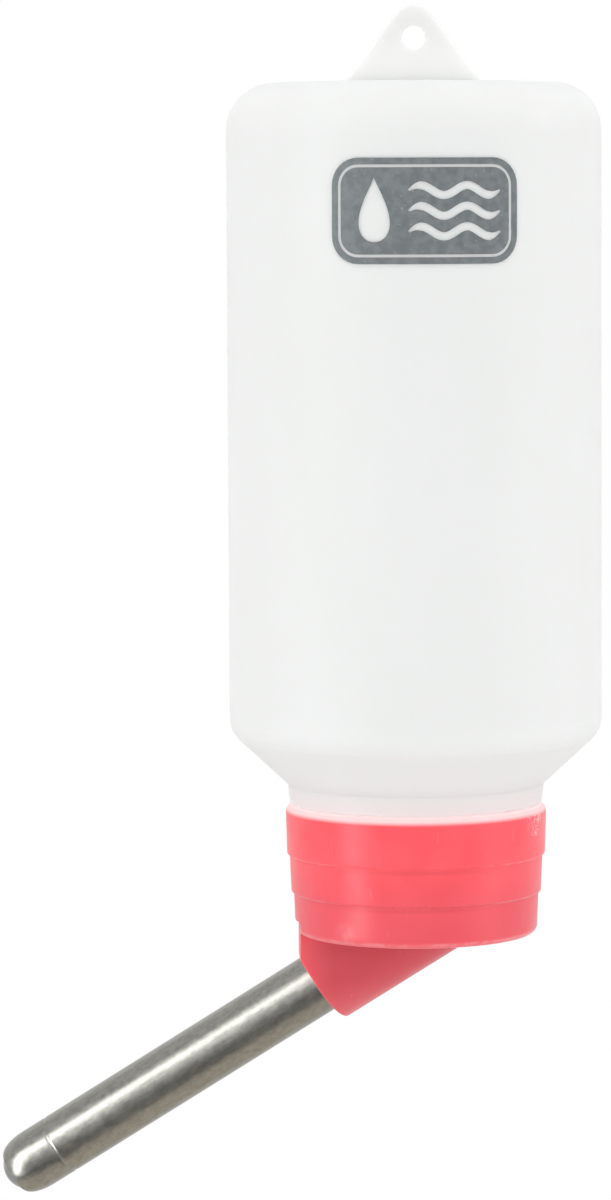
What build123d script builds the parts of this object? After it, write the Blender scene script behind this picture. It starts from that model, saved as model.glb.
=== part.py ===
from build123d import *
import os
from math import asin, cos, radians, sin, sqrt, tan

# Hanging drinking bottle for rabbits: a blow-moulded bottle with a hanging lug, a stepped screw cap with a
# slanting boss, a flat seal ring, a steel spout tube and the two loose balls that close it.
#
# Millimetres. +Z is up and the bottle hangs neck down. The origin is the centre of the hole in the hanging lug,
# Z is the bottle's axis and the lug's plate lies in the XZ plane. The spout points to -X, turned by SPOUT_CLOCK
# where the thread runs home.

# Hanging lug, a flat triangular plate with a rounded tip
LUG_HOLE_R = 1.9
LUG_THICK = 1.8
LUG_TIP_R = 3.2
LUG_TIP_Z = 2.04
LUG_HALF_ANGLE = 36.7
LUG_EDGE_R = 0.35
LUG_SINK = 0.8

# Bottle body
TOP_Z = -6.56
TOP_CROWN = 0.7
BODY_R = 29.25
WALL = 1.0
TOP_CORNER_R = 7.4
SHOULDER_Z = TOP_Z - 101.7
SHOULDER_CORNER_R = 4.5
CONE_DROP = 8.4
SHOULDER_THICKENING = 0.4
HOLLOW_ROUND = 1.0

# Neck, from its collar down to its lip
COLLAR_R = 20.2
COLLAR_DRAFT = 0.4
COLLAR_H = 3.3
COLLAR_ROUND = 0.6
COLLAR_TOP_ROUND = 0.5
COLLAR_WALL = 1.3
NECK_RUN_IN = 2.4
NECK_R = 17.4
NECK_BORE_R = 15.9
LIP_ROUND = 0.4

# Screw cap
CAP_H = 20.52
CAP_GAP = 0.03
CAP_FLOOR = 1.6
RING_TOP_R = (20.55, 19.95, 19.3)
RING_DRAFT = (0.2, 0.25, 0.25)
RING_DROP = (7.92, 13.92)
RING_ROUND = 0.35
RIM_ROUND = 1.2
CAP_FOOT_ROUND = 1.4
CAP_BORE_R = 18.7
CAP_SEAT_R = 17.9
CAP_SEAT_H = 6.3
CAP_SEAT_CHAMFER = 0.5
SEAL_THICK = 1.5
SEAL_IN_R = 13.6
SEAL_PLAY = 0.15
SEAL_GAP = 0.02

# Screw thread, right-handed
PITCH = 4.2
THREAD_TURNS = 1.5
RIDGE_H = 1.0
RIDGE_FOOT = 2.0
RIDGE_CREST = 1.0
RIDGE_ROOT = 0.3
CAP_RIDGE_TIP_R = 17.65
RIDGE_LIFT = 1.5
RIDGE_START_ANGLE = 20.0
RIDGE_ABOVE_SEAT = 0.35

# Spout boss and tube. Distances along the tube start where its axis crosses the cap's axis.
SPOUT_TILT = 32.7
SPOUT_CLOCK = -7.5
SPOUT_RISE = 1.6
BOSS_R = 6.95
BOSS_OUT = 17.7
BOSS_IN = 8.0
BOSS_ROUND = 0.35
BOSS_PLAY = 0.02
BORE_RUN_OUT = 1.0
IMPRINT_HALF_WIDTH = 10.0
IMPRINT_H = 2.3
IMPRINT_ROUND = 2.1
IMPRINT_CAP_R = 18.6
TUBE_R = 4.9
TUBE_WALL = 0.6
TUBE_REACH = 78.0
TUBE_IN = 10.6
NOSE_LENGTH = 4.5
MOUTH_R = 3.25
CRIMP_BACK = 8.9
CRIMP_R = 3.6
CRIMP_ROUND = 0.25
GROOVE_DEPTH = 0.07
GROOVE_W = 0.8
BEAD_R = 5.5
BEAD_W = 1.6
INLET_R = 3.3
INLET_ROUND = 0.9

# Balls
BALL_R = 4.0
BALL_PLAY = 0.05
BALL_BACK = 2.5
SEAT_ANGLE = 65.0

COLLAR_TOP_Z = SHOULDER_Z - CONE_DROP
COLLAR_END_Z = COLLAR_TOP_Z - COLLAR_H
CAP_TOP_Z = COLLAR_END_Z - CAP_GAP
CAP_FOOT_Z = CAP_TOP_Z - CAP_H
FLOOR_Z = CAP_FOOT_Z + CAP_FLOOR
SEAL_Z = FLOOR_Z + SEAL_GAP + SEAL_THICK / 2
LIP_Z = SEAL_Z + SEAL_THICK / 2 + SEAL_GAP
SEAT_Z = CAP_FOOT_Z + CAP_SEAT_H
SPOUT_Z = CAP_FOOT_Z + SPOUT_RISE
CRIMP_AT = TUBE_REACH - CRIMP_BACK
CREST_R = CRIMP_R + CRIMP_ROUND * sqrt(2)
TIP_BALL_AT = TUBE_REACH - BALL_BACK
CHECK_BALL_AT = CRIMP_AT - sqrt((BALL_R + BALL_PLAY + CRIMP_ROUND) ** 2 - CREST_R**2)

DOWN_THE_SPOUT = Vector(-cos(radians(SPOUT_TILT)), 0, -sin(radians(SPOUT_TILT)))
UP_FROM_SPOUT = Vector(-sin(radians(SPOUT_TILT)), 0, cos(radians(SPOUT_TILT)))
SPOUT_PLANE = Plane(origin=(0, 0, SPOUT_Z), x_dir=UP_FROM_SPOUT, z_dir=DOWN_THE_SPOUT)


def turned(outline):
    """The solid that an outline of (radius, height) points makes when it is turned about Z."""
    return revolve(Plane.XZ * outline, Axis.Z)


def rounded(outline, corners):
    """The outline with each (point, radius) corner rounded."""
    for point, radius in corners:
        corner = outline.vertices().sort_by_distance(Vector(*point))[0]
        outline = fillet(corner, radius)
    return outline


def clocked(shape):
    """A shape of the cap's group, turned from the XZ plane to where the thread runs home."""
    return Rotation(0, 0, SPOUT_CLOCK) * shape


def along_spout(shape):
    """A shape built about the local Z axis, laid along the tube with Z towards the tip and X upwards."""
    return SPOUT_PLANE.location * shape


def thread_ridge(foot_r, crest_r, start_z):
    """A helical ridge of trapezium section, from foot_r to crest_r, that starts at height start_z."""
    path = Helix(PITCH, PITCH * THREAD_TURNS, foot_r, center=(0, 0, start_z))
    outward = 1 if crest_r > foot_r else -1
    root = -RIDGE_ROOT * outward
    section = make_face(
        Polyline(
            (root, -RIDGE_FOOT / 2),
            (0, -RIDGE_FOOT / 2),
            (crest_r - foot_r, -RIDGE_CREST / 2),
            (crest_r - foot_r, RIDGE_CREST / 2),
            (0, RIDGE_FOOT / 2),
            (root, RIDGE_FOOT / 2),
            close=True,
        )
    )
    start = Plane(origin=path @ 0, x_dir=(1, 0, 0), z_dir=path % 0)
    ridge = sweep(start * section, path=path, is_frenet=True)
    return Rotation(0, 0, RIDGE_START_ANGLE) * ridge


def lug():
    """The hanging lug: a plate whose sides run from its round tip down into the bottle's crown."""
    half = radians(LUG_HALF_ANGLE)
    touch = (LUG_TIP_R * cos(half), LUG_TIP_Z + LUG_TIP_R * sin(half))
    foot_z = TOP_Z - LUG_SINK
    foot_x = touch[0] + (touch[1] - foot_z) * sin(half) / cos(half)
    outline = make_face(
        [
            Line((-foot_x, foot_z), (foot_x, foot_z)),
            Line((foot_x, foot_z), touch),
            ThreePointArc(touch, (0, LUG_TIP_Z + LUG_TIP_R), (-touch[0], touch[1])),
            Line((-touch[0], touch[1]), (-foot_x, foot_z)),
        ]
    )
    plate = extrude(Plane.XZ * outline, LUG_THICK / 2, both=True)
    faces = plate.faces().filter_by(Axis.Y)
    rims = [edge for face in faces for edge in face.edges() if edge.center().Z > foot_z + LUG_EDGE_R]
    plate = fillet(rims, LUG_EDGE_R)
    hole = Rotation(90, 0, 0) * Cylinder(LUG_HOLE_R, LUG_THICK * 2)
    return plate - hole


def bottle_outside():
    collar_low_r = COLLAR_R - COLLAR_DRAFT
    crown_edge_z = TOP_Z - TOP_CROWN
    crown_mid = (BODY_R / 2, TOP_Z - TOP_CROWN / 4)
    outline = make_face(
        [
            Line((0, LIP_Z), (0, TOP_Z)),
            ThreePointArc((0, TOP_Z), crown_mid, (BODY_R, crown_edge_z)),
            Polyline(
                (BODY_R, crown_edge_z),
                (BODY_R, SHOULDER_Z),
                (COLLAR_R, COLLAR_TOP_Z),
                (collar_low_r, COLLAR_END_Z),
                (NECK_R, COLLAR_END_Z),
                (NECK_R, LIP_Z),
                (0, LIP_Z),
            ),
        ]
    )
    corners = [
        ((BODY_R, crown_edge_z), TOP_CORNER_R),
        ((BODY_R, SHOULDER_Z), SHOULDER_CORNER_R),
        ((COLLAR_R, COLLAR_TOP_Z), COLLAR_TOP_ROUND),
        ((collar_low_r, COLLAR_END_Z), COLLAR_ROUND),
        ((NECK_R, LIP_Z), LIP_ROUND),
    ]
    return turned(rounded(outline, corners))


def bottle_inside():
    """The hollow, one wall inside the body and drawn in to the neck's bore."""
    inner_r = BODY_R - WALL
    roof_z = TOP_Z - WALL
    edge_z = roof_z - TOP_CROWN
    slope = CONE_DROP / (BODY_R - COLLAR_R)
    shoulder_z = SHOULDER_Z + SHOULDER_THICKENING
    ledge_r = COLLAR_R - COLLAR_WALL
    ledge_z = shoulder_z - (inner_r - ledge_r) * slope
    bore_z = ledge_z - NECK_RUN_IN
    outline = make_face(
        [
            Line((0, LIP_Z), (0, roof_z)),
            ThreePointArc((0, roof_z), (inner_r / 2, roof_z - TOP_CROWN / 4), (inner_r, edge_z)),
            Polyline(
                (inner_r, edge_z),
                (inner_r, shoulder_z),
                (ledge_r, ledge_z),
                (NECK_BORE_R, bore_z),
                (NECK_BORE_R, LIP_Z),
                (0, LIP_Z),
            ),
        ]
    )
    corners = [
        ((inner_r, edge_z), TOP_CORNER_R - WALL),
        ((inner_r, shoulder_z), SHOULDER_CORNER_R - WALL),
        ((ledge_r, ledge_z), HOLLOW_ROUND),
        ((NECK_BORE_R, bore_z), HOLLOW_ROUND),
    ]
    return turned(rounded(outline, corners))


def bottle():
    low_ridge_z = SEAT_Z + RIDGE_FOOT / 2 + RIDGE_ABOVE_SEAT
    ridge = thread_ridge(NECK_R, NECK_R + RIDGE_H, low_ridge_z)
    return bottle_outside() + ridge + lug() - bottle_inside()


def cap_shell():
    """The stepped cup of the cap, without its boss and thread."""
    outer = [(0, CAP_FOOT_Z)]
    corners = []
    levels = [CAP_TOP_Z, CAP_TOP_Z - RING_DROP[0], CAP_TOP_Z - RING_DROP[1], CAP_FOOT_Z]
    for ring in (2, 1, 0):
        low_r = RING_TOP_R[ring] - RING_DRAFT[ring]
        outer.append((low_r, levels[ring + 1]))
        outer.append((RING_TOP_R[ring], levels[ring]))
        corners.append(((low_r, levels[ring + 1]), CAP_FOOT_ROUND if ring == 2 else RING_ROUND))
    corners.append(((RING_TOP_R[0], CAP_TOP_Z), RIM_ROUND))
    inner = [
        (CAP_BORE_R, CAP_TOP_Z),
        (CAP_BORE_R, SEAT_Z),
        (CAP_SEAT_R, SEAT_Z - CAP_SEAT_CHAMFER),
        (CAP_SEAT_R, FLOOR_Z),
        (0, FLOOR_Z),
    ]
    outline = make_face(Polyline(*outer, *inner, close=True))
    return turned(rounded(outline, corners))


def boss():
    """The slanting boss that grips the tube. Under the cap it has straight sides up to the foot, as a mould
    that opens downwards leaves it, and inside the cap it is a plain barrel."""
    barrel = Pos(0, 0, (BOSS_OUT - BOSS_IN) / 2) * Cylinder(BOSS_R, BOSS_OUT + BOSS_IN)
    above_floor = Pos(0, 0, FLOOR_Z - CAP_FLOOR / 4 + CAP_H / 2) * Cylinder(CAP_SEAT_R, CAP_H)
    inside = along_spout(barrel) & above_floor
    tall_section = make_face(
        [
            ThreePointArc((0, -BOSS_R), (-BOSS_R, 0), (0, BOSS_R)),
            Polyline((0, BOSS_R), (2 * BOSS_R, BOSS_R), (2 * BOSS_R, -BOSS_R), (0, -BOSS_R)),
        ]
    )
    tall = Pos(0, 0, -BOSS_IN) * extrude(tall_section, BOSS_OUT + BOSS_IN)
    face_rim = [e for e in tall.edges() if e.center().Z > BOSS_OUT - 1e-3 and e.center().X < BOSS_R]
    tall = along_spout(fillet(face_rim, BOSS_ROUND))
    keep = Pos(0, 0, CAP_FOOT_Z + CAP_FLOOR / 4 - CAP_H / 2) * Cylinder(IMPRINT_CAP_R, CAP_H)
    return inside, tall & keep


def screw_cap():
    low_ridge_z = SEAT_Z + RIDGE_FOOT / 2 + RIDGE_ABOVE_SEAT
    ridge = thread_ridge(CAP_BORE_R, CAP_RIDGE_TIP_R, low_ridge_z + RIDGE_LIFT)
    bore_length = BOSS_OUT + BOSS_IN + 2 * BORE_RUN_OUT
    tube_bore = Cylinder(TUBE_R + BOSS_PLAY, bore_length)
    tube_bore = along_spout(Pos(0, 0, BOSS_OUT + BORE_RUN_OUT - bore_length / 2) * tube_bore)
    imprint = Pos(-BODY_R / 2, 0, CAP_FOOT_Z) * Box(BODY_R, 2 * IMPRINT_HALF_WIDTH, 2 * IMPRINT_H)
    imprint = fillet(imprint.edges().filter_by(Axis.X).sort_by(Axis.Z)[-2:], IMPRINT_ROUND)
    low_ring = Pos(0, 0, CAP_FOOT_Z) * (
        Cylinder(BODY_R, 2 * (CAP_H - RING_DROP[1])) - Cylinder(IMPRINT_CAP_R, 2 * CAP_H)
    )
    inside_boss, outside_boss = boss()
    shell = cap_shell() - (imprint & low_ring) + inside_boss + outside_boss - tube_bore
    return clocked(shell) + ridge


def cap_seal():
    ring = Cylinder(CAP_SEAT_R - SEAL_PLAY, SEAL_THICK) - Cylinder(SEAL_IN_R, SEAL_THICK)
    return Pos(0, 0, SEAL_Z) * ring


def spout_tube():
    """A drawn tube: rolled in over the tip ball, crimped to a seat behind it, beaded behind the boss and
    rolled in again at its inlet."""
    inner_r = TUBE_R - TUBE_WALL
    seat_r = BALL_R + BALL_PLAY
    seat_low, seat_high = radians(SEAT_ANGLE), asin(MOUTH_R / seat_r)
    seat = [
        (seat_r * sin(turn), TIP_BALL_AT + seat_r * cos(turn))
        for turn in (seat_low, (seat_low + seat_high) / 2, seat_high)
    ]
    flare_z = seat[0][1] - (inner_r - seat[0][0]) * tan(seat_low)
    nose_z = TUBE_REACH - NOSE_LENGTH
    crimp_half = inner_r - CRIMP_R
    bead_high_z = -BOSS_IN - BOSS_PLAY
    bead_low_z = bead_high_z - BEAD_W
    floor_z = -TUBE_IN + TUBE_WALL
    outline = make_face(
        [
            Line((inner_r, flare_z), seat[0]),
            ThreePointArc(*seat),
            Line(seat[2], (MOUTH_R, TUBE_REACH)),
            EllipticalCenterArc((MOUTH_R, nose_z), TUBE_R - MOUTH_R, NOSE_LENGTH, start_angle=0, arc_size=90),
            Line((TUBE_R, nose_z), (TUBE_R, CRIMP_AT + GROOVE_W / 2)),
            ThreePointArc(
                (TUBE_R, CRIMP_AT + GROOVE_W / 2),
                (TUBE_R - GROOVE_DEPTH, CRIMP_AT),
                (TUBE_R, CRIMP_AT - GROOVE_W / 2),
            ),
            Line((TUBE_R, CRIMP_AT - GROOVE_W / 2), (TUBE_R, bead_high_z)),
            ThreePointArc(
                (TUBE_R, bead_high_z),
                (BEAD_R, (bead_high_z + bead_low_z) / 2),
                (TUBE_R, bead_low_z),
            ),
            Polyline(
                (TUBE_R, bead_low_z),
                (TUBE_R, -TUBE_IN),
                (INLET_R, -TUBE_IN),
                (INLET_R, floor_z),
                (inner_r, floor_z),
                (inner_r, CRIMP_AT - crimp_half),
                (CRIMP_R, CRIMP_AT),
                (inner_r, CRIMP_AT + crimp_half),
                (inner_r, flare_z),
            ),
        ]
    )
    corners = [
        ((TUBE_R, -TUBE_IN), INLET_ROUND),
        ((inner_r, floor_z), INLET_ROUND - TUBE_WALL),
        ((CRIMP_R, CRIMP_AT), CRIMP_ROUND),
    ]
    return clocked(along_spout(turned(rounded(outline, corners))))


def ball(distance):
    """A loose ball on the tube's axis."""
    return clocked(along_spout(Pos(0, 0, distance) * Sphere(BALL_R)))


def main():
    os.makedirs("parts", exist_ok=True)
    parts = {
        "bottle": bottle(),
        "screw_cap": screw_cap(),
        "cap_seal": cap_seal(),
        "spout_tube": spout_tube(),
        "tip_ball": ball(TIP_BALL_AT),
        "check_ball": ball(CHECK_BALL_AT),
    }
    for name, shape in parts.items():
        export_step(shape, f"parts/{name}.step")


main()
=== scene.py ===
"""Blender scene of the hanging rabbit bottle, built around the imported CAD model, in metres.

The bottle hangs neck down with its lug's hole at the origin. The CAD nodes keep their shapes and get
procedural materials. The printed mark and the ridges that the mould's halves leave are pieces of their own.
"""

import math

import bmesh
import bpy
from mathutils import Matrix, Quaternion, Vector


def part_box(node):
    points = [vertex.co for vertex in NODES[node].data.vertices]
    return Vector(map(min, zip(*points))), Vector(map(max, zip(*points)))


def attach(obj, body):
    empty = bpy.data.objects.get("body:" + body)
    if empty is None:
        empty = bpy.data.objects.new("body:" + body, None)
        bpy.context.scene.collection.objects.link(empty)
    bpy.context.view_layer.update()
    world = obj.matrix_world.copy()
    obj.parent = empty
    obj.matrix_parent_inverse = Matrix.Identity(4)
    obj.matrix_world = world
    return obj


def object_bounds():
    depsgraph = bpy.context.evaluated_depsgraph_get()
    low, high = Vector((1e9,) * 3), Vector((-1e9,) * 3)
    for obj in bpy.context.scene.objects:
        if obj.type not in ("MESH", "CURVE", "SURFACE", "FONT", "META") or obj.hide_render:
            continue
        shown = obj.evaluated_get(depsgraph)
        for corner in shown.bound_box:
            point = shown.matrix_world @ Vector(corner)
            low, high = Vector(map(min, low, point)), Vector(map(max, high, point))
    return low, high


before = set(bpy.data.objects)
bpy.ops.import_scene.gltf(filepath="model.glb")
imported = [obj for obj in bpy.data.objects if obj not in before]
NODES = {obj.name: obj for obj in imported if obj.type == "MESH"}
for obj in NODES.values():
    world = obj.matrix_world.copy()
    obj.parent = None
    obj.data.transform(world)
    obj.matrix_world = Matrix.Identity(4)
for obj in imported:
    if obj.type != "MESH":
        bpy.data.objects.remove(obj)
CAD_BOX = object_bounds()

# Camera, level with the bottle's upper part and looking slightly down
CAMERA_DISTANCE = 0.800
CAMERA_HEIGHT = -0.019
CAMERA_AIM_HEIGHT = -0.0879
CAMERA_AZIMUTH = 2.5
CAMERA_ROLL = -0.2
LENS = 153.2
SENSOR = 36.0
SHIFT_X = -0.0914

# Studio. Directions are azimuth to the right of -Y and elevation, in degrees, and widths are half-widths.
SKY_LIGHT = 1.27
GROUND_LIGHT = 1.10
ROOM_GLOW = 0.11
BACKDROP_GLOW = 0.70
CEILING_GLOW = 0.40
TABLE_GLOW = 0.42
SOFTBOXES = (
    {"azimuth": -16, "elevation": 24, "tilt": -32, "width": 34, "height": 19, "soft": 0.34, "glow": 0.9},
    {"azimuth": -54, "elevation": -4, "tilt": 0, "width": 7, "height": 30, "soft": 0.12, "glow": 6.0},
    {"azimuth": 74, "elevation": 0, "tilt": 0, "width": 12, "height": 45, "soft": 0.20, "glow": 1.2},
)
FLOOR_DROP = 0.12
FLOOR_SIZE = 30.0

# Printed mark on the front of the bottle: where its centre is, and its size along and up the wall
MARK_TURN = 6.1
MARK_Z = -0.0266
MARK_WIDTH = 0.0292
MARK_HEIGHT = 0.0160
MARK_CORNER_R = 0.0042
MARK_STRIPS = 60
FRAME_INSET = 0.0010
FRAME_LINE = 0.00045
WAVE_LEVELS = (0.0031, 0.0, -0.0031)
INK_THICKNESS = 0.00004
INK_SINK = 0.00002

# Ridges where the mould's halves met, in the plane of the lug
SEAM_HALF_WIDTH = 0.00022
SEAM_HEIGHT = 0.00006
SEAM_SINK = 0.00005
SEAM_CENTRE_Z = -0.090
SEAM_STEPS = 150
SEAM_TOP_ANGLE = 82
SEAM_SWEEP = 124
SEAM_RAY_START = 0.2
SEAM_ARC_STEPS = 6

# Heights on the bottle: the lug's foot, and where the seams end and the collar ends
LUG_FOOT_Z = -0.0068
COLLAR_EDGE_Z = -0.1160
COLLAR_FOOT_Z = -0.11996
# Bands of painted shade on the lug and its tip, and of painted red light on the collar
LUG_SHADE_Z = (-0.010, -0.006)
LUG_TIP_SHADE_Z = (-0.0045, 0.0025)
RED_BOUNCE_Z = (-0.1135, -0.1190)
RED_BOUNCE_END_Z = (-0.1204, -0.1200)

# Cap: its height, its steps below its top, and where it is scuffed
CAP_HEIGHT = 0.02052
CAP_STEPS = (0.00792, 0.01392)
SCUFF_AT = Vector((0.0188, -0.0074, -0.1219))
FOOT_SCUFF_AT = Vector((-0.0102, -0.0158, -0.1385))

# Painted glow in the fine groove between the collar and the cap, for the light the walls carry into it
GROOVE_GLOW = 0.24
GROOVE_GLOW_REACH = 0.00026


# ---------------------------------------------------------------- node helpers


class Shader:
    """A material with one Principled shader, and short ways to add textures to it in the object's metres."""

    def __init__(self, name, color, **sockets):
        self.material = bpy.data.materials.new(name)
        self.material.use_nodes = True
        self.tree = self.material.node_tree
        self.bsdf = self.tree.nodes["Principled BSDF"]
        self.bsdf.inputs["Base Color"].default_value = (*color, 1)
        for socket, value in sockets.items():
            self.bsdf.inputs[socket.replace("_", " ")].default_value = value
        self.coordinates = self.tree.nodes.new("ShaderNodeTexCoord").outputs["Object"]

    def node(self, kind, **values):
        made = self.tree.nodes.new(kind)
        for key, value in values.items():
            setattr(made, key, value)
        return made

    def link(self, source, target):
        self.tree.links.new(source, target)

    def turned(self, quaternion):
        """The object's coordinates in axes turned by quaternion."""
        mapping = self.node("ShaderNodeMapping")
        mapping.inputs["Rotation"].default_value = quaternion.inverted().to_euler()
        self.link(self.coordinates, mapping.inputs["Vector"])
        return mapping.outputs["Vector"]

    def noise(self, size, stretch=(1, 1, 1), detail=3.0, roughness=0.5, shift=0.0, axes=None):
        """Noise whose blobs are about size metres across, drawn out by stretch along each axis."""
        mapping = self.node("ShaderNodeMapping")
        mapping.inputs["Scale"].default_value = [1 / s for s in stretch]
        mapping.inputs["Location"].default_value = (shift, shift, shift)
        texture = self.node("ShaderNodeTexNoise")
        texture.inputs["Scale"].default_value = 1 / size
        texture.inputs["Detail"].default_value = detail
        texture.inputs["Roughness"].default_value = roughness
        self.link(axes or self.coordinates, mapping.inputs["Vector"])
        self.link(mapping.outputs["Vector"], texture.inputs["Vector"])
        return texture.outputs["Fac"]

    def cells(self, size):
        """Distance to the nearest border of cells about size metres across, in cells."""
        texture = self.node("ShaderNodeTexVoronoi", feature="DISTANCE_TO_EDGE")
        texture.inputs["Scale"].default_value = 1 / size
        self.link(self.coordinates, texture.inputs["Vector"])
        return texture.outputs["Distance"]

    def axis(self, letter):
        """The object's own X, Y or Z, in metres."""
        split = self.node("ShaderNodeSeparateXYZ")
        self.link(self.coordinates, split.inputs["Vector"])
        return split.outputs[letter]

    def near(self, point, inner, outer):
        """1 within inner metres of a point, falling to 0 at outer metres."""
        gap = self.node("ShaderNodeVectorMath", operation="DISTANCE")
        gap.inputs[1].default_value = point
        self.link(self.coordinates, gap.inputs[0])
        return self.between(gap.outputs["Value"], inner, outer, 1.0, 0.0)

    def math(self, operation, a, b=0.0):
        made = self.node("ShaderNodeMath", operation=operation)
        for value, socket in ((a, made.inputs[0]), (b, made.inputs[1])):
            if isinstance(value, (int, float)):
                socket.default_value = value
            else:
                self.link(value, socket)
        return made.outputs["Value"]

    def between(self, value, low, high, out_low=0.0, out_high=1.0):
        """value, from low to high, smoothly mapped to out_low to out_high and held there."""
        made = self.node("ShaderNodeMapRange", interpolation_type="SMOOTHSTEP")
        ends = {"From Min": low, "From Max": high, "To Min": out_low, "To Max": out_high}
        for name, number in ends.items():
            made.inputs[name].default_value = number
        self.link(value, made.inputs["Value"])
        return made.outputs["Result"]

    def band(self, value, middle, half_width):
        """1 where value is at the middle, falling to 0 at half_width on each side of it."""
        gap = self.math("ABSOLUTE", self.math("SUBTRACT", value, middle))
        return self.between(gap, 0.0, half_width, 1.0, 0.0)

    def mix(self, factor, first, second):
        """A colour: first where factor is 0 and second where it is 1. Each is a colour or another mix."""
        made = self.node("ShaderNodeMix", data_type="RGBA")
        self.link(factor, made.inputs[0])
        for value, socket in ((first, made.inputs[6]), (second, made.inputs[7])):
            if isinstance(value, tuple):
                socket.default_value = (*value, 1)
            else:
                self.link(value, socket)
        return made.outputs[2]

    def bump(self, height, depth):
        """Relief of height 0 to 1 over depth metres, added to any relief that the shader already has."""
        made = self.node("ShaderNodeBump")
        made.inputs["Strength"].default_value = 1.0
        made.inputs["Distance"].default_value = depth
        self.link(height, made.inputs["Height"])
        normal = self.bsdf.inputs["Normal"]
        if normal.is_linked:
            self.link(normal.links[0].from_socket, made.inputs["Normal"])
        self.link(made.outputs["Normal"], normal)

    def drive(self, socket, value):
        self.link(value, self.bsdf.inputs[socket])


def dress(node, shader):
    mesh = NODES[node].data
    mesh.materials.clear()
    mesh.materials.append(shader.material)


# ---------------------------------------------------------------- materials


def frosted_plastic(name="frosted_bottle", subsurface=0.7):
    """Milky polyethylene: light wanders in the wall, and the blown skin has a fine orange peel."""
    s = Shader(
        name, (0.83, 0.84, 0.825), Roughness=0.55, IOR=1.5,
        Subsurface_Weight=subsurface, Subsurface_Scale=0.003, Subsurface_Radius=(1.0, 0.95, 0.9),
        Emission_Color=(1.0, 0.88, 0.87, 1),
    )
    z = s.axis("Z")
    clouds = s.noise(0.018, stretch=(1, 1, 3), detail=2)
    body = s.mix(s.between(clouds, 0.35, 0.65), (0.826, 0.832, 0.812), (0.840, 0.845, 0.827))
    # Painted shade: the thin lug is darker, and darker still towards its tip, against the light it catches
    painted_lug_shade = s.between(z, *LUG_SHADE_Z)
    body = s.mix(painted_lug_shade, body, (0.785, 0.792, 0.787))
    body = s.mix(s.between(z, *LUG_TIP_SHADE_Z), body, (0.715, 0.723, 0.719))
    # Painted light: the collar is tinted pink for red light bounced up from the cap under it
    collar = s.math("MULTIPLY", s.between(z, *RED_BOUNCE_Z), s.between(z, *RED_BOUNCE_END_Z))
    body = s.mix(collar, body, (0.77, 0.71, 0.705))
    # Painted glow: light that the walls carry into the fine groove where the collar meets the cap
    s.drive("Emission Strength", s.math("MULTIPLY", s.band(z, COLLAR_FOOT_Z, GROOVE_GLOW_REACH), GROOVE_GLOW))
    s.drive("Base Color", body)
    s.drive("Roughness", s.between(s.noise(0.006, detail=4), 0.3, 0.7, 0.50, 0.60))
    s.bump(s.noise(0.0011, detail=3), 0.000012)
    s.bump(s.noise(0.012, stretch=(1, 1, 4), detail=1), 0.00006)
    # Flow lines left as the tube of hot plastic was blown out, along the bottle
    s.bump(s.noise(0.0012, stretch=(1, 1, 40), detail=2, shift=3.0), 0.00001)
    return s


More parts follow.
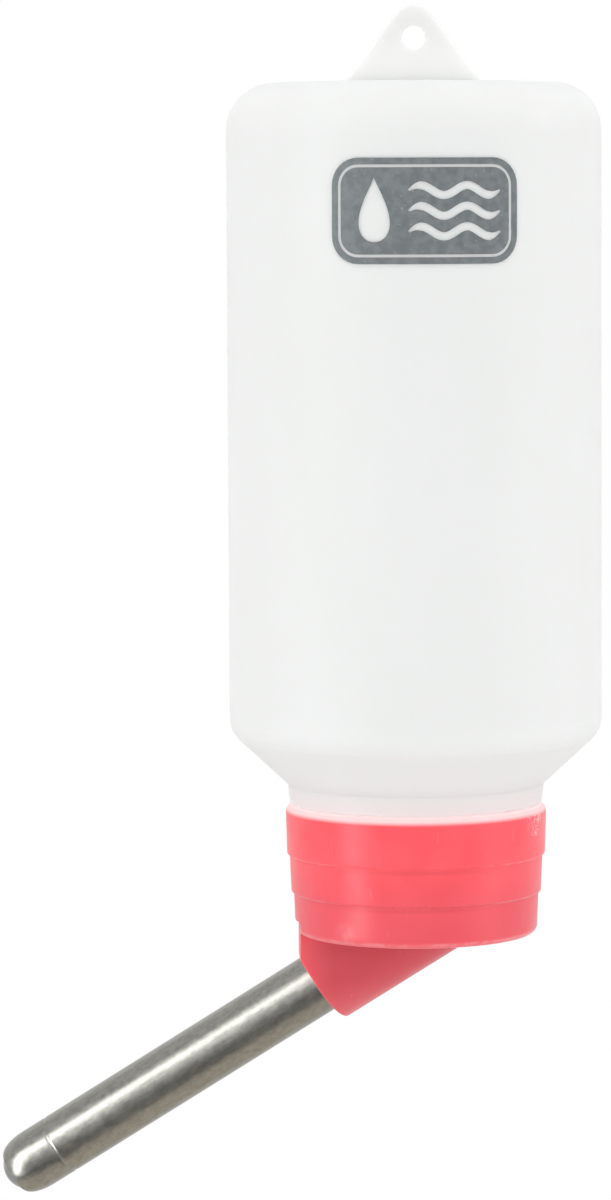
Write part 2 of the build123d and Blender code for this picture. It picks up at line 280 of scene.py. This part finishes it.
def red_plastic():
    """Injection-moulded cap: deep red, scuffed, with painted light on its rim and steps and painted shade
    below.
    """
    s = Shader(
        "red_cap", (0.93, 0.085, 0.11), Roughness=0.36, IOR=1.5,
        Subsurface_Weight=0.35, Subsurface_Scale=0.002, Subsurface_Radius=(1.0, 0.25, 0.25),
        Sheen_Weight=0.27, Sheen_Roughness=0.50, Sheen_Tint=(1.0, 0.75, 0.75, 1),
        Emission_Color=(1.0, 0.75, 0.75, 1),
    )
    z = s.axis("Z")
    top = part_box("screw_cap")[1].z
    foot = top - CAP_HEIGHT
    clouds = s.between(s.noise(0.007, detail=3), 0.3, 0.7)
    body = s.mix(clouds, (0.915, 0.078, 0.103), (0.96, 0.094, 0.120))
    # Painted shade: darker towards the cap's foot
    lower = s.between(z, top - 0.006, foot)
    body = s.mix(s.math("MULTIPLY", lower, 0.75), body, (0.74, 0.080, 0.107))
    # The boss below the foot: a deeper red where it is thick, with painted shade under the cap's overhang
    thick_and_shaded_boss = s.between(z, foot + 0.0004, foot - 0.002)
    # Painted light: the boss's left side is paler, as if lit from the left
    across = s.between(s.axis("X"), -0.0205, -0.0120)
    body = s.mix(thick_and_shaded_boss, body, s.mix(across, (0.84, 0.100, 0.128), (0.60, 0.062, 0.085)))
    tip = s.between(z, foot - 0.006, foot - 0.013)
    body = s.mix(s.math("MULTIPLY", tip, 0.5), body, (0.74, 0.12, 0.14))
    # Rim, steps and foot: painted light on the rim and steps, painted shade under the steps, wear at the foot
    pale = (0.97, 0.62, 0.63)
    wear_and_glint = s.between(s.noise(0.0016, detail=4), 0.40, 0.62, 0.35, 1.0)
    side = s.math("ABSOLUTE", s.axis("X"))
    # Painted light: the top of the rim is pale, for light passing through the thin rim
    rim = s.between(z, top - 0.0013, top - 0.0004)
    body = s.mix(rim, body, (0.98, 0.70, 0.71))
    # Painted glow at the cap's top edge, for light in the groove under the collar
    s.drive("Emission Strength", s.math("MULTIPLY", s.band(z, top, GROOVE_GLOW_REACH), GROOVE_GLOW))
    for drop in CAP_STEPS:
        # Painted highlight along each step's edge, stronger towards the cap's sides, broken up by wear
        line = s.math("MULTIPLY", s.band(z, top - drop, 0.00028), wear_and_glint)
        line = s.math("MULTIPLY", line, s.between(side, 0.009, 0.0195, 0.03, 0.36))
        body = s.mix(line, body, pale)
        # Painted shade under each step, deepest in the middle of the front and back
        shade = s.band(z, top - drop - 0.0006, 0.0006)
        shade = s.math("MULTIPLY", shade, s.between(side, 0.006, 0.017, 0.30, 0.0))
        body = s.mix(shade, body, (0.66, 0.05, 0.07))
    edge = s.math("MULTIPLY", s.band(z, foot + 0.0006, 0.0005), wear_and_glint)
    body = s.mix(s.math("MULTIPLY", edge, 0.24), body, pale)
    handled = s.math("MULTIPLY", s.near(FOOT_SCUFF_AT, 0.0006, 0.0026), wear_and_glint)
    body = s.mix(s.math("MULTIPLY", handled, 0.16), body, pale)
    # A web of scuffs on the right of the rim and a few light scratches
    web = s.math("MULTIPLY", s.between(s.cells(0.0010), 0.01, 0.07, 1.0, 0.0), wear_and_glint)
    scuffed = s.math("MULTIPLY", web, s.near(SCUFF_AT, 0.0012, 0.0034))
    body = s.mix(s.math("MULTIPLY", scuffed, 0.75), body, (1.0, 0.86, 0.86))
    scratch = s.between(s.noise(0.0005, stretch=(1, 1, 9), detail=1, shift=7.0), 0.735, 0.77)
    body = s.mix(s.math("MULTIPLY", scratch, 0.08), body, pale)
    s.drive("Base Color", body)
    s.drive("Roughness", s.between(s.noise(0.003, detail=4), 0.3, 0.7, 0.32, 0.42))
    s.bump(s.noise(0.0008, detail=3), 0.000008)
    s.bump(s.noise(0.004, detail=2, shift=5.0), 0.00003)
    s.bump(scuffed, 0.00004)
    return s


def middle(node):
    low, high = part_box(node)
    return (low + high) / 2


def satin_steel():
    """Drawn stainless tube: fine lines along it, and a mottle from handling."""
    down_the_tube = (middle("tip_ball") - middle("check_ball")).normalized()
    along = Vector((-1, 0, 0)).rotation_difference(down_the_tube)
    s = Shader("steel_tube", (0.64, 0.625, 0.575), Metallic=1.0, Roughness=0.30)
    axes = s.turned(along)
    lines = s.noise(0.00022, stretch=(60, 1, 1), detail=4, roughness=0.6, axes=axes)
    mottle = s.noise(0.0008, stretch=(1.6, 1, 1), detail=5, roughness=0.7, axes=axes)
    tone = s.math("ADD", s.math("MULTIPLY", lines, 0.3), s.math("MULTIPLY", mottle, 0.7))
    s.drive("Base Color", s.mix(s.between(tone, 0.36, 0.64), (0.530, 0.516, 0.470), (0.700, 0.688, 0.638)))
    s.drive("Roughness", s.between(mottle, 0.3, 0.7, 0.29, 0.38))
    s.bump(s.noise(0.0011, stretch=(3, 1, 1), detail=1, axes=axes), 0.0000012)
    return s


def polished_ball():
    s = Shader("steel_ball", (0.60, 0.61, 0.62), Metallic=1.0, Roughness=0.16)
    haze = s.noise(0.0012, detail=4)
    s.drive("Base Color", s.mix(s.between(haze, 0.3, 0.7), (0.56, 0.57, 0.58), (0.64, 0.65, 0.66)))
    s.drive("Roughness", s.between(haze, 0.3, 0.7, 0.12, 0.22))
    s.bump(s.noise(0.0004, detail=2), 0.0000015)
    return s


def soft_seal():
    s = Shader("seal_rubber", (0.72, 0.72, 0.70), Roughness=0.55)
    s.drive("Base Color", s.mix(s.noise(0.002, detail=4), (0.68, 0.68, 0.66), (0.76, 0.76, 0.74)))
    s.drive("Roughness", s.between(s.noise(0.001, detail=3), 0.3, 0.7, 0.48, 0.62))
    s.bump(s.noise(0.0006, detail=3), 0.00001)
    return s


def ink():
    """Screen-printed ink, a little thin where the screen's mesh shows through."""
    s = Shader("printed_mark", (0.165, 0.185, 0.190), Roughness=0.45)
    tone = s.between(s.noise(0.0012, detail=5), 0.3, 0.7)
    body = s.mix(tone, (0.135, 0.155, 0.162), (0.185, 0.205, 0.210))
    thin = s.between(s.noise(0.00035, detail=2, shift=2.0), 0.66, 0.78)
    s.drive("Base Color", s.mix(s.math("MULTIPLY", thin, 0.5), body, (0.45, 0.46, 0.46)))
    s.drive("Roughness", s.between(tone, 0.0, 1.0, 0.40, 0.52))
    s.bump(s.noise(0.0005, detail=3), 0.000008)
    return s


# ---------------------------------------------------------------- stage, light and camera


def heading(azimuth, elevation):
    """The unit vector at azimuth to the right of -Y and elevation above the floor, in degrees."""
    a, e = math.radians(azimuth), math.radians(elevation)
    return Vector((math.sin(a) * math.cos(e), -math.cos(a) * math.cos(e), math.sin(e)))


def build_camera():
    data = bpy.data.cameras.new("camera")
    camera = bpy.data.objects.new("camera", data)
    bpy.context.scene.collection.objects.link(camera)
    camera.location = heading(CAMERA_AZIMUTH, 0) * CAMERA_DISTANCE + Vector((0, 0, CAMERA_HEIGHT))
    gaze = Vector((0, 0, CAMERA_AIM_HEIGHT)) - camera.location
    camera.rotation_mode = "QUATERNION"
    roll = Quaternion((0, 0, 1), math.radians(CAMERA_ROLL))
    camera.rotation_quaternion = gaze.to_track_quat("-Z", "Y") @ roll
    data.sensor_width = SENSOR
    data.lens = LENS
    data.shift_x = SHIFT_X
    data.clip_start, data.clip_end = 0.05, 60
    bpy.context.scene.camera = camera


class Sky:
    """The world's nodes. The camera sees plain white, and the object is lit evenly from all round and mirrors
    a dim room with a pale backdrop, ceiling and table and a few softboxes."""

    def __init__(self):
        self.world = bpy.data.worlds.new("studio")
        self.world.use_nodes = True
        self.tree = self.world.node_tree
        self.way = self.tree.nodes.new("ShaderNodeTexCoord").outputs["Generated"]

    def math(self, operation, a, b=0.0):
        made = self.tree.nodes.new("ShaderNodeMath")
        made.operation = operation
        for value, socket in ((a, made.inputs[0]), (b, made.inputs[1])):
            if isinstance(value, (int, float)):
                socket.default_value = value
            else:
                self.tree.links.new(value, socket)
        return made.outputs["Value"]

    def dot(self, direction):
        made = self.tree.nodes.new("ShaderNodeVectorMath")
        made.operation = "DOT_PRODUCT"
        made.inputs[1].default_value = direction
        self.tree.links.new(self.way, made.inputs[0])
        return made.outputs["Value"]

    def between(self, value, low, high, out_low=0.0, out_high=1.0):
        made = self.tree.nodes.new("ShaderNodeMapRange")
        made.interpolation_type = "SMOOTHSTEP"
        ends = {"From Min": low, "From Max": high, "To Min": out_low, "To Max": out_high}
        for name, number in ends.items():
            made.inputs[name].default_value = number
        self.tree.links.new(value, made.inputs["Value"])
        return made.outputs["Result"]

    def blend(self, factor, first, second):
        """first where factor is 0 and second where it is 1."""
        step = self.math("SUBTRACT", second, first)
        return self.math("ADD", self.math("MULTIPLY", step, factor), first)

    def softbox(self, azimuth, elevation, tilt, width, height, soft, glow):
        """How bright a flat softbox with soft edges is, seen in each direction."""
        middle = heading(azimuth, elevation)
        right = heading(azimuth + 90, 0)
        right.rotate(Quaternion(middle, math.radians(tilt)))
        up = right.cross(middle)
        ahead = self.math("MAXIMUM", self.dot(middle), 0.001)
        lit = glow
        for across, half in ((right, math.tan(math.radians(width))), (up, math.tan(math.radians(height)))):
            offset = self.math("ABSOLUTE", self.math("DIVIDE", self.dot(across), ahead))
            lit = self.math("MULTIPLY", self.between(offset, half - soft, half + soft, 1.0, 0.0), lit)
        return lit

    def background(self, color, strength):
        made = self.tree.nodes.new("ShaderNodeBackground")
        made.inputs["Color"].default_value = (*color, 1)
        if isinstance(strength, (int, float)):
            made.inputs["Strength"].default_value = strength
        else:
            self.tree.links.new(strength, made.inputs["Strength"])
        return made.outputs["Background"]

    def choose(self, ray, other, chosen):
        """The chosen background for one kind of ray and the other one for the rest."""
        rays = self.tree.nodes.new("ShaderNodeLightPath")
        made = self.tree.nodes.new("ShaderNodeMixShader")
        self.tree.links.new(rays.outputs[ray], made.inputs[0])
        self.tree.links.new(other, made.inputs[1])
        self.tree.links.new(chosen, made.inputs[2])
        return made.outputs["Shader"]


def build_studio():
    sky = Sky()
    forward = sky.dot((0, 1, 0))
    upward = sky.dot((0, 0, 1))
    mirrored = sky.blend(sky.between(forward, -0.40, 0.20), ROOM_GLOW, CEILING_GLOW)
    mirrored = sky.blend(sky.between(upward, 0.55, 0.80), mirrored, CEILING_GLOW)
    mirrored = sky.blend(sky.between(forward, 0.45, 0.95), mirrored, BACKDROP_GLOW)
    for box in SOFTBOXES:
        mirrored = sky.math("ADD", mirrored, sky.softbox(**box))
    table = sky.between(upward, -0.775, -0.848)
    cool = sky.background((0.99, 1.0, 1.0), sky.blend(table, mirrored, 0.0))
    warm = sky.background((1.0, 0.93, 0.79), sky.math("MULTIPLY", table, TABLE_GLOW))
    both = sky.tree.nodes.new("ShaderNodeAddShader")
    sky.tree.links.new(cool, both.inputs[0])
    sky.tree.links.new(warm, both.inputs[1])
    even = sky.background((1.0, 1.0, 0.995), sky.between(upward, -0.8, 0.8, GROUND_LIGHT, SKY_LIGHT))
    lit = sky.choose("Is Glossy Ray", even, both.outputs["Shader"])
    seen = sky.choose("Is Camera Ray", lit, sky.background((1, 1, 1), 1.0))
    sky.tree.links.new(seen, sky.tree.nodes["World Output"].inputs["Surface"])
    # The world is followed by the surfaces' own rays, so that each kind of ray meets its own light
    sky.world.cycles.sampling_method = "NONE"
    bpy.context.scene.world = sky.world
    bpy.context.scene.view_settings.view_transform = "Standard"


def build_floor():
    """A white floor that the camera sees from above, and that lets the even light from below through."""
    low = CAD_BOX[0]
    half = FLOOR_SIZE / 2
    z = low[2] - FLOOR_DROP
    mesh = bpy.data.meshes.new("floor")
    corners = [(-half, -half, z), (half, -half, z), (half, half, z), (-half, half, z)]
    mesh.from_pydata(corners, [], [(0, 1, 2, 3)])
    floor = bpy.data.objects.new("floor", mesh)
    bpy.context.scene.collection.objects.link(floor)
    material = bpy.data.materials.new("pale_floor")
    material.use_nodes = True
    tree = material.node_tree
    tree.nodes.remove(tree.nodes["Principled BSDF"])
    white = tree.nodes.new("ShaderNodeEmission")
    clear = tree.nodes.new("ShaderNodeBsdfTransparent")
    rays = tree.nodes.new("ShaderNodeLightPath")
    choice = tree.nodes.new("ShaderNodeMixShader")
    facing = tree.nodes.new("ShaderNodeNewGeometry")
    seen = tree.nodes.new("ShaderNodeMath")
    seen.operation = "SUBTRACT"
    seen.use_clamp = True
    tree.links.new(rays.outputs["Is Camera Ray"], seen.inputs[0])
    tree.links.new(facing.outputs["Backfacing"], seen.inputs[1])
    tree.links.new(seen.outputs["Value"], choice.inputs[0])
    tree.links.new(clear.outputs["BSDF"], choice.inputs[1])
    tree.links.new(white.outputs["Emission"], choice.inputs[2])
    tree.links.new(choice.outputs["Shader"], tree.nodes["Material Output"].inputs["Surface"])
    mesh.materials.append(material)


# ---------------------------------------------------------------- printed mark


def rounded_box(width, height, radius, steps=8):
    """Corner points of a rectangle with rounded corners, anticlockwise, about the origin."""
    points = []
    for quarter, (sx, sy) in enumerate(((1, 1), (-1, 1), (-1, -1), (1, -1))):
        cx, cy = sx * (width / 2 - radius), sy * (height / 2 - radius)
        for i in range(steps + 1):
            a = math.radians(90 * (quarter + i / steps))
            points.append((cx + radius * math.cos(a), cy + radius * math.sin(a)))
    return points


def drop_outline(cx, cy, radius, height, steps=40):
    """A water drop: round below, with its point at the top."""
    points = []
    for i in range(steps):
        t = 2 * math.pi * i / steps
        x = radius * math.sin(t) * math.sin(t / 2) ** 1.4
        y = height / 2 * math.cos(t)
        points.append((cx - x, cy + y))
    return points


def wave_outline(x0, x1, cy, swing, half_width, waves, steps=48):
    """A band of even width that follows a sine wave."""
    upper, lower = [], []
    for i in range(steps + 1):
        f = i / steps
        x = x0 + (x1 - x0) * f
        a = 2 * math.pi * waves * f
        slope = swing * math.cos(a) * 2 * math.pi * waves / (x1 - x0)
        size = math.hypot(1, slope)
        y = cy + swing * math.sin(a)
        taper = half_width * min(1.0, 0.25 + 6 * min(f, 1 - f))
        upper.append((x - slope / size * taper, y + taper / size))
        lower.append((x + slope / size * taper, y - taper / size))
    return upper + lower[::-1]


def flat_shape(outlines):
    """A flat mesh that fills the first outline and leaves the others open. Overlapping fills alternate."""
    curve = bpy.data.curves.new("mark_outline", "CURVE")
    curve.dimensions = "2D"
    curve.fill_mode = "BOTH"
    for outline in outlines:
        spline = curve.splines.new("POLY")
        spline.points.add(len(outline) - 1)
        for point, (x, y) in zip(spline.points, outline):
            point.co = (x, y, 0, 1)
        spline.use_cyclic_u = True
    holder = bpy.data.objects.new("mark_outline", curve)
    bpy.context.scene.collection.objects.link(holder)
    bpy.context.view_layer.update()
    mesh = bpy.data.meshes.new_from_object(holder.evaluated_get(bpy.context.evaluated_depsgraph_get()))
    bpy.data.objects.remove(holder)
    bpy.data.curves.remove(curve)
    return mesh


def build_mark():
    """A plaque of ink with a thin frame line, a drop and three waves left open, wrapped round the wall."""
    drop_x = -MARK_WIDTH * 0.27
    wave_from, wave_to = -MARK_WIDTH * 0.09, MARK_WIDTH * 0.40
    outlines = []
    for inset in (0.0, FRAME_INSET, FRAME_INSET + FRAME_LINE):
        outlines.append(rounded_box(MARK_WIDTH - 2 * inset, MARK_HEIGHT - 2 * inset, MARK_CORNER_R - inset))
    outlines.append(drop_outline(drop_x, 0.0002, 0.0034, 0.0098))
    for level in WAVE_LEVELS:
        outlines.append(wave_outline(wave_from, wave_to, level, 0.00075, 0.00062, 2.0))
    mesh = flat_shape(outlines)
    bm = bmesh.new()
    bm.from_mesh(mesh)
    bmesh.ops.remove_doubles(bm, verts=bm.verts, dist=1e-7)
    # Strips narrow enough to follow the wall
    for i in range(1, MARK_STRIPS):
        x = MARK_WIDTH * (i / MARK_STRIPS - 0.5)
        geometry = bm.verts[:] + bm.edges[:] + bm.faces[:]
        bmesh.ops.bisect_plane(bm, geom=geometry, dist=1e-7, plane_co=(x, 0, 0), plane_no=(1, 0, 0))
    bmesh.ops.triangulate(bm, faces=bm.faces)
    for face in bm.faces:
        if face.normal.z < 0:
            face.normal_flip()
    extruded = bmesh.ops.extrude_face_region(bm, geom=bm.faces[:])
    raised = [v for v in extruded["geom"] if isinstance(v, bmesh.types.BMVert)]
    bmesh.ops.translate(bm, verts=raised, vec=(0, 0, INK_THICKNESS + INK_SINK))
    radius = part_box("bottle")[1].x
    turn = math.radians(MARK_TURN)
    for v in bm.verts:
        a = v.co.x / radius + turn
        r = radius - INK_SINK + v.co.z
        v.co = Vector((r * math.sin(a), -r * math.cos(a), MARK_Z + v.co.y))
    bmesh.ops.recalc_face_normals(bm, faces=bm.faces)
    bm.to_mesh(mesh)
    bm.free()
    mesh.materials.clear()
    mesh.materials.append(ink().material)
    mark = bpy.data.objects.new("printed_mark", mesh)
    bpy.context.scene.collection.objects.link(mark)
    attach(mark, "bottle")


# ---------------------------------------------------------------- mould seams


def wall_points(side):
    """Points and outward directions on the bottle's outside in the lug's plane, from beside the lug down to
    the collar, on the side of +X or -X."""
    bottle = NODES["bottle"]
    centre = Vector((0, 0, SEAM_CENTRE_Z))
    found = []
    for i in range(SEAM_STEPS + 1):
        angle = math.radians(SEAM_TOP_ANGLE - SEAM_SWEEP * i / SEAM_STEPS)
        way = Vector((side * math.cos(angle), 0, math.sin(angle)))
        hit, point, normal, _ = bottle.ray_cast(centre + way * SEAM_RAY_START, -way)
        if hit:
            found.append((point, Vector((normal.x, 0, normal.z)).normalized()))
    return found


def build_seam(name, side, material):
    """A low half-round ridge along those points, sunk a little into the wall."""
    section = []
    for i in range(SEAM_ARC_STEPS + 1):
        a = math.pi * i / SEAM_ARC_STEPS
        section.append((SEAM_HALF_WIDTH * math.cos(a), SEAM_HEIGHT * math.sin(a)))
    section += [(-SEAM_HALF_WIDTH, -SEAM_SINK), (SEAM_HALF_WIDTH, -SEAM_SINK)]
    bm = bmesh.new()
    rings = []
    for point, out in wall_points(side):
        if point.z > LUG_FOOT_Z or point.z < COLLAR_EDGE_Z:
            continue
        rings.append([bm.verts.new(point + out * h + Vector((0, w, 0))) for w, h in section])
    count = len(section)
    for first, second in zip(rings, rings[1:]):
        for i in range(count):
            j = (i + 1) % count
            bm.faces.new((first[i], first[j], second[j], second[i]))
    for ring in (rings[0], rings[-1]):
        bm.faces.new(ring)
    bmesh.ops.recalc_face_normals(bm, faces=bm.faces)
    mesh = bpy.data.meshes.new(name)
    bm.to_mesh(mesh)
    bm.free()
    for polygon in mesh.polygons:
        polygon.use_smooth = True
    mesh.materials.append(material)
    seam = bpy.data.objects.new(name, mesh)
    bpy.context.scene.collection.objects.link(seam)
    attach(seam, "bottle")


# ---------------------------------------------------------------- the object

build_camera()
build_studio()
build_floor()

frosted = frosted_plastic()
dress("bottle", frosted)
dress("screw_cap", red_plastic())
dress("cap_seal", soft_seal())
dress("spout_tube", satin_steel())
ball_shader = polished_ball()
dress("tip_ball", ball_shader)
dress("check_ball", ball_shader)
build_mark()
# The ridges are too thin for light to wander in
thin_frosted = frosted_plastic("frosted_seam", subsurface=0.0)
build_seam("mould_seam_left", -1, thin_frosted.material)
build_seam("mould_seam_right", 1, thin_frosted.material)
